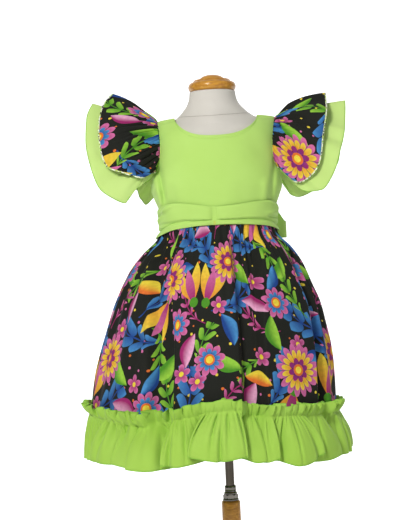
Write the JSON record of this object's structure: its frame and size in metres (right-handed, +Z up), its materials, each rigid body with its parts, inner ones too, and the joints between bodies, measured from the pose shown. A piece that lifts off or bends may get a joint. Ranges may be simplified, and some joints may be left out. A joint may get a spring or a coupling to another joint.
{
  "type": "folklorico dress on a dress form and stand",
  "caption": "Child's ruffled folklorico dress with double flutter sleeves, tied sash and floral skirt, worn by a limbless dress form on a height-adjustable stand.",
  "frame": {"origin": "centre of the base disc's flat underside, on the floor under the pole", "axes": "+Z up along the pole, -Y is the dress's front, +X is to the right of someone facing the front"},
  "size_m": [0.4973, 0.4695, 1.1003],
  "materials": {
    "lime_poplin": "plain-woven polyester-cotton poplin, matt with a faint sheen",
    "floral_print": "plain-woven cotton with a folk floral print on a near-black ground",
    "form_jersey": "fine off-white jersey stretched over the form",
    "varnished_wood": "golden-brown wood under gloss varnish",
    "chrome": "polished chrome",
    "zip_enamel": "zip slider and tab enamelled to match the cloth"
  },
  "bodies": {
    "base": {"base_disc": "varnished_wood", "post": "varnished_wood", "washer": "chrome", "clamp_nut": "chrome", "clamp_collar": "chrome"},
    "pole": {"pole": "chrome"},
    "form": {"form_torso": "form_jersey", "neck_cap": "varnished_wood", "bodice_front": "lime_poplin", "bodice_back_left": "lime_poplin", "bodice_back_right": "lime_poplin", "sleeve_left_print": "floral_print", "sleeve_left_lime": "lime_poplin", "sleeve_right_print": "floral_print", "sleeve_right_lime": "lime_poplin", "skirt_front": "floral_print", "skirt_back": "floral_print", "flounce_front": "lime_poplin", "flounce_back": "lime_poplin", "sash_front": "lime_poplin", "sash_back_left": "lime_poplin", "sash_back_right": "lime_poplin", "bow_knot": "lime_poplin", "bow_loop_left": "lime_poplin", "bow_loop_right": "lime_poplin", "bow_tail_left": "lime_poplin", "bow_tail_right": "lime_poplin", "zip_slider": "zip_enamel"},
    "zip_tab": {"zip_tab": "zip_enamel"}
  },
  "joints": [
    {"name": "form_height", "type": "slide", "parent": "base", "child": "pole", "axis": [0, 0, 1], "range_m": [-0.05, 0.12]},
    {"name": "form_swivel", "type": "hinge", "parent": "pole", "child": "form", "pos_m": [0, 0, 0.57], "axis": [0, 0, 1], "continuous": true},
    {"name": "zip_tab_swing", "type": "hinge", "parent": "form", "child": "zip_tab", "pos_m": [0, 0.07177, 0.99766], "axis": [1, 0, 0], "range_deg": [0, 150]}
  ]
}
